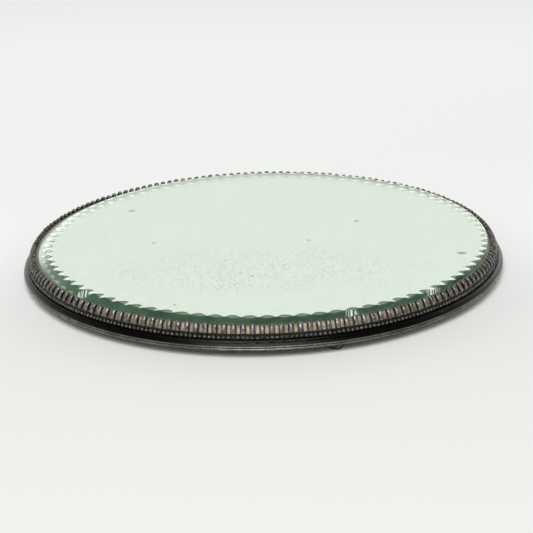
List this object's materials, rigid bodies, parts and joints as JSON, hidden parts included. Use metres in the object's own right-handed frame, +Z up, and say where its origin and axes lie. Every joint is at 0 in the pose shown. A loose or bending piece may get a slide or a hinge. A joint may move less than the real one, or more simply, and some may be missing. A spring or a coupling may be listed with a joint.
{
  "type": "candle plate",
  "caption": "Round mirror candle plate: bevelled mirror with a scalloped facet line, ribbed and beaded antique metal rim over a reeded base moulding, on low bun feet",
  "frame": {"origin": "centre of the circle that the feet stand on, on the floor", "axes": "+Z up along the plate's axis, -Y to the front of the picture, +X to its right"},
  "size_m": [0.2998, 0.2998, 0.0192],
  "materials": {
    "mirror_glass": "polished bevelled mirror glass",
    "silvering": "mirror silvering",
    "paper": "brown backing paper",
    "board_wood": "plain sanded hardwood",
    "baize": "green baize",
    "bezel_brass": "dull aged brass",
    "patinated_rim": "dark patinated brass with rubbed highlights",
    "patinated_base": "dark patinated brass with rubbed highlights",
    "screw_steel": "plain steel"
  },
  "bodies": {
    "root": {"mirror_glass": "mirror_glass", "silver_backing": "silvering", "backing_paper": "paper", "base_board": "board_wood", "baize_cover": "baize", "brass_bezel": "bezel_brass", "ribbed_gallery": "patinated_rim", "beaded_strip": "patinated_rim", "reeded_base": "patinated_base", "foot_front": "patinated_base", "foot_right": "patinated_base", "foot_rear": "patinated_base", "foot_rear_left": "patinated_base", "foot_front_left": "patinated_base", "foot_screws": "screw_steel", "board_screws": "screw_steel"}
  },
  "joints": []
}
